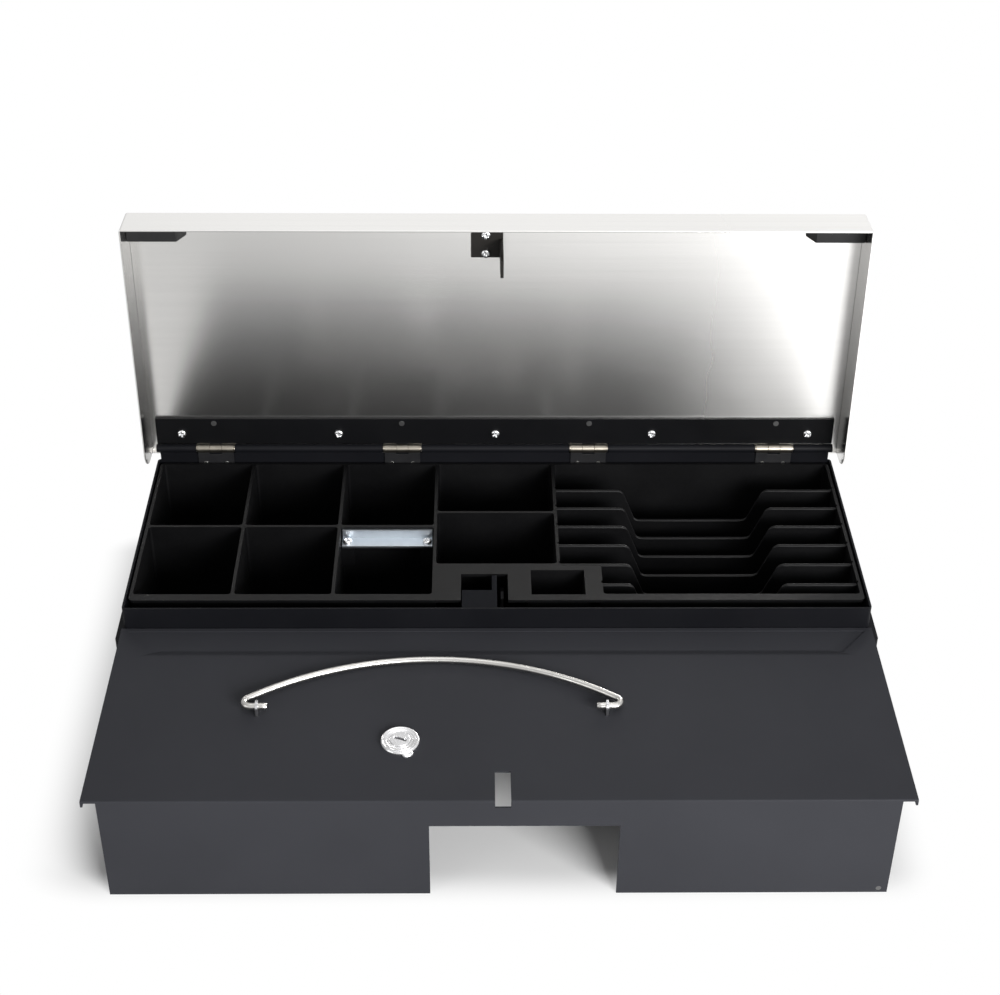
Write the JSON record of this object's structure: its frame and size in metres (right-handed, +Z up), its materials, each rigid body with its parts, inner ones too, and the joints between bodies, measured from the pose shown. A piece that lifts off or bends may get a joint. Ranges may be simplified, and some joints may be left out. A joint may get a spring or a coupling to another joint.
{
  "type": "flip-top cash drawer",
  "caption": "Flip-top cash drawer with hinged steel lid, solenoid lid latch, lift-out coin and note tray, and a lockable tray cover with a bail handle, shown open with the cover taken off.",
  "frame": {"origin": "middle of the footprint of the open drawer with its cover leaning in front, on the floor", "axes": "+X along the length to the right, +Y towards the hinged rear, +Z up"},
  "size_m": [0.4616, 0.3188, 0.2653],
  "materials": {
    "case_steel": "fine textured satin black powder coat",
    "black_steel": "satin black",
    "cover_steel": "satin dark grey powder coat",
    "brushed_lid": "fine brushed stainless steel",
    "plain_steel": "nickel plated satin",
    "bright_steel": "bright zinc plated",
    "zinc": "blue zinc plated",
    "chrome": "polished",
    "black_plastic": "fine grained injection moulded",
    "coil_tape": "wrapped coil",
    "rubber": "matt"
  },
  "bodies": {
    "housing": {"housing_base": "case_steel", "housing_top_frame": "case_steel", "case_rivets": "case_steel", "tray_rest_left": "plain_steel", "tray_rest_right": "plain_steel", "rubber_feet": "rubber", "cable_grommet": "rubber", "hinge_leaf_case_1": "plain_steel", "hinge_pin_1": "plain_steel", "hinge_leaf_case_2": "plain_steel", "hinge_pin_2": "plain_steel", "hinge_leaf_case_3": "plain_steel", "hinge_pin_3": "plain_steel", "hinge_leaf_case_4": "plain_steel", "hinge_pin_4": "plain_steel", "hinge_rivets_case": "plain_steel", "mechanism_bracket": "black_steel", "mechanism_screws": "bright_steel", "latch_pivot_pin": "plain_steel", "solenoid_frame": "plain_steel", "solenoid_coil": "coil_tape", "latch_spring": "plain_steel"},
    "lid": {"hinge_leaf_lid_1": "plain_steel", "hinge_leaf_lid_2": "plain_steel", "hinge_leaf_lid_3": "plain_steel", "hinge_leaf_lid_4": "plain_steel", "lid_pan": "brushed_lid", "lid_rail": "black_steel", "lid_weld_nuts": "bright_steel", "lid_rail_screws": "bright_steel", "hinge_rivets_lid": "plain_steel", "lid_corner_left": "black_plastic", "lid_corner_right": "black_plastic", "striker_bracket": "black_steel", "striker_screws": "bright_steel"},
    "tray": {"tray": "black_plastic", "note_divider_1": "black_plastic", "note_divider_2": "black_plastic", "note_divider_3": "black_plastic", "note_divider_4": "black_plastic", "note_divider_5": "black_plastic", "note_divider_6": "black_plastic", "lock_bracket": "zinc", "lock_bracket_screws": "bright_steel"},
    "cover": {"cover_shell": "cover_steel", "cover_wall_rivet": "bright_steel", "handle_ear_left": "case_steel", "handle_ear_right": "case_steel", "cover_lock_body": "chrome", "cover_lock_nut": "bright_steel"},
    "handle": {"handle_wire": "plain_steel"},
    "lock": {"lock_plug": "chrome", "lock_cam": "bright_steel", "cam_screw": "bright_steel"},
    "latch": {"latch_hook": "plain_steel"},
    "plunger": {"solenoid_plunger": "plain_steel"}
  },
  "joints": [
    {"name": "lid_hinge", "type": "hinge", "parent": "housing", "child": "lid", "pos_m": [0, 0.14707, 0.0958], "axis": [-1, 0, 0], "range_deg": [-92.8, 0]},
    {"name": "tray_lift", "type": "slide", "parent": "housing", "child": "tray", "axis": [0, 0, 1], "range_m": [0, 0.12]},
    {"name": "cover_lift", "type": "slide", "parent": "housing", "child": "cover", "axis": [0, 0, 1], "range_m": [0, 0.15]},
    {"name": "handle_swing", "type": "hinge", "parent": "cover", "child": "handle", "pos_m": [-0.0382, -0.08793, 0.0768], "axis": [1, 0, 0], "range_deg": [0, 150]},
    {"name": "lock_turn", "type": "hinge", "parent": "cover", "child": "lock", "pos_m": [-0.0558, -0.11283, 0.0724], "axis": [0, 0, -1], "range_deg": [0, 90]},
    {"name": "latch_swing", "type": "hinge", "parent": "housing", "child": "latch", "pos_m": [0.003, 0.01257, 0.056], "axis": [-1, 0, 0], "range_deg": [-16, 0]},
    {"name": "plunger_slide", "type": "slide", "parent": "housing", "child": "plunger", "axis": [0, 0, -1], "range_m": [-0.00234, 0], "deforming": ["latch_spring"]}
  ],
  "couplings": [
    {"joint": "latch_swing", "follows": "plunger_slide", "rad_per_m": 119.19}
  ]
}
